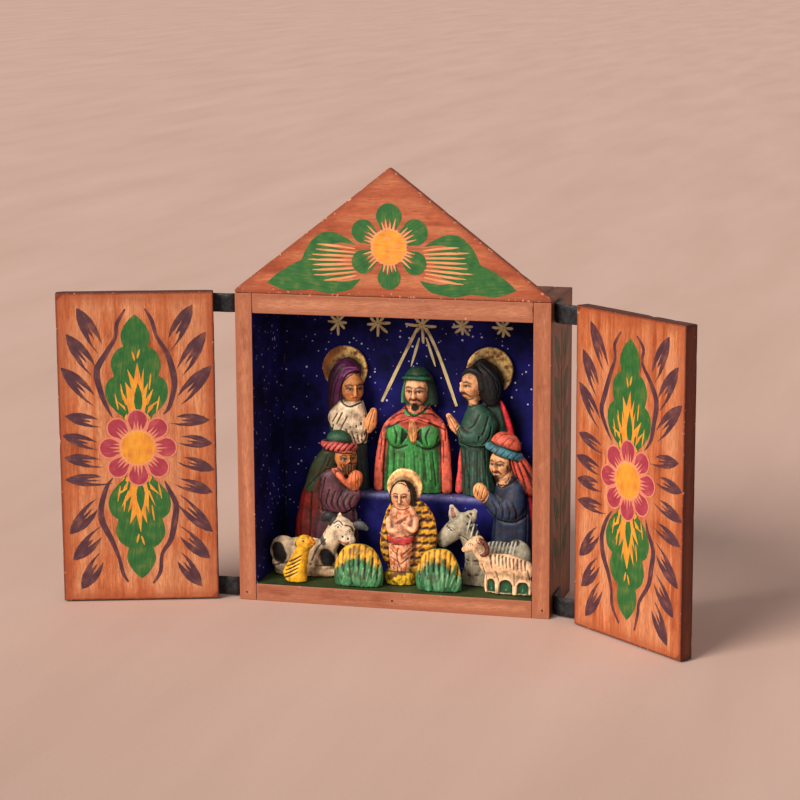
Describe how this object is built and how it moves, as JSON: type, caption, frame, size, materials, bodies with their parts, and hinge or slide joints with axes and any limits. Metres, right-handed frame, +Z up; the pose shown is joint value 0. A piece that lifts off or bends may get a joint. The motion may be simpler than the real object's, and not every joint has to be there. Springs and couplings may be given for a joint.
{
  "type": "folding shrine box",
  "caption": "Small gabled wooden shrine box with two painted doors on leather straps, opening on a nativity of painted clay figures on a blue ledge.",
  "frame": {"origin": "middle of the box's flat underside, under the floor board", "axes": "+Z up, +X to the right as the open front is faced, +Y towards the back; the doors stand open to both sides and forward"},
  "size_m": [0.2574, 0.0894, 0.1755],
  "materials": {
    "stained_wood": "red-brown stained softwood with visible grain and worn edges",
    "door_wood": "orange-brown stained boards, dark edges, hand-painted folk flowers and leaves on the inner faces",
    "navy_paint": "navy water paint flecked with white, gold stars on the back",
    "strap_leather": "black leather strap",
    "painted_clay_people": "hand-painted clay, faintly varnished",
    "painted_clay_animals": "hand-painted clay, faintly varnished",
    "painted_clay_grass": "hand-painted clay, green below and yellow at the tips"
  },
  "bodies": {
    "box": {"left_side": "stained_wood", "right_side": "stained_wood", "top_board": "stained_wood", "floor_board": "stained_wood", "gable": "stained_wood", "back_panel": "navy_paint", "ledge": "navy_paint", "left_strap_top": "strap_leather", "left_strap_bottom": "strap_leather", "right_strap_top": "strap_leather", "right_strap_bottom": "strap_leather", "haloed_woman": "painted_clay_people", "robed_man": "painted_clay_people", "haloed_man": "painted_clay_people", "kneeling_man_left": "painted_clay_people", "kneeling_man_right": "painted_clay_people", "infant_in_cradle": "painted_clay_people", "cow": "painted_clay_animals", "donkey": "painted_clay_animals", "bird": "painted_clay_animals", "goat": "painted_clay_animals", "grass_tuft_left": "painted_clay_grass", "grass_tuft_right": "painted_clay_grass"},
    "left_door": {"left_door": "door_wood"},
    "right_door": {"right_door": "door_wood"}
  },
  "joints": [
    {"name": "left_door_hinge", "type": "hinge", "parent": "box", "child": "left_door", "pos_m": [-0.0672, -0.0226, 0], "axis": [0, 0, 1], "range_deg": [-37.3, 162.7], "deforming": ["left_strap_top", "left_strap_bottom"]},
    {"name": "right_door_hinge", "type": "hinge", "parent": "box", "child": "right_door", "pos_m": [0.0692, -0.0226, 0], "axis": [0, 0, 1], "range_deg": [-139.4, 60.6], "deforming": ["right_strap_top", "right_strap_bottom"]}
  ]
}
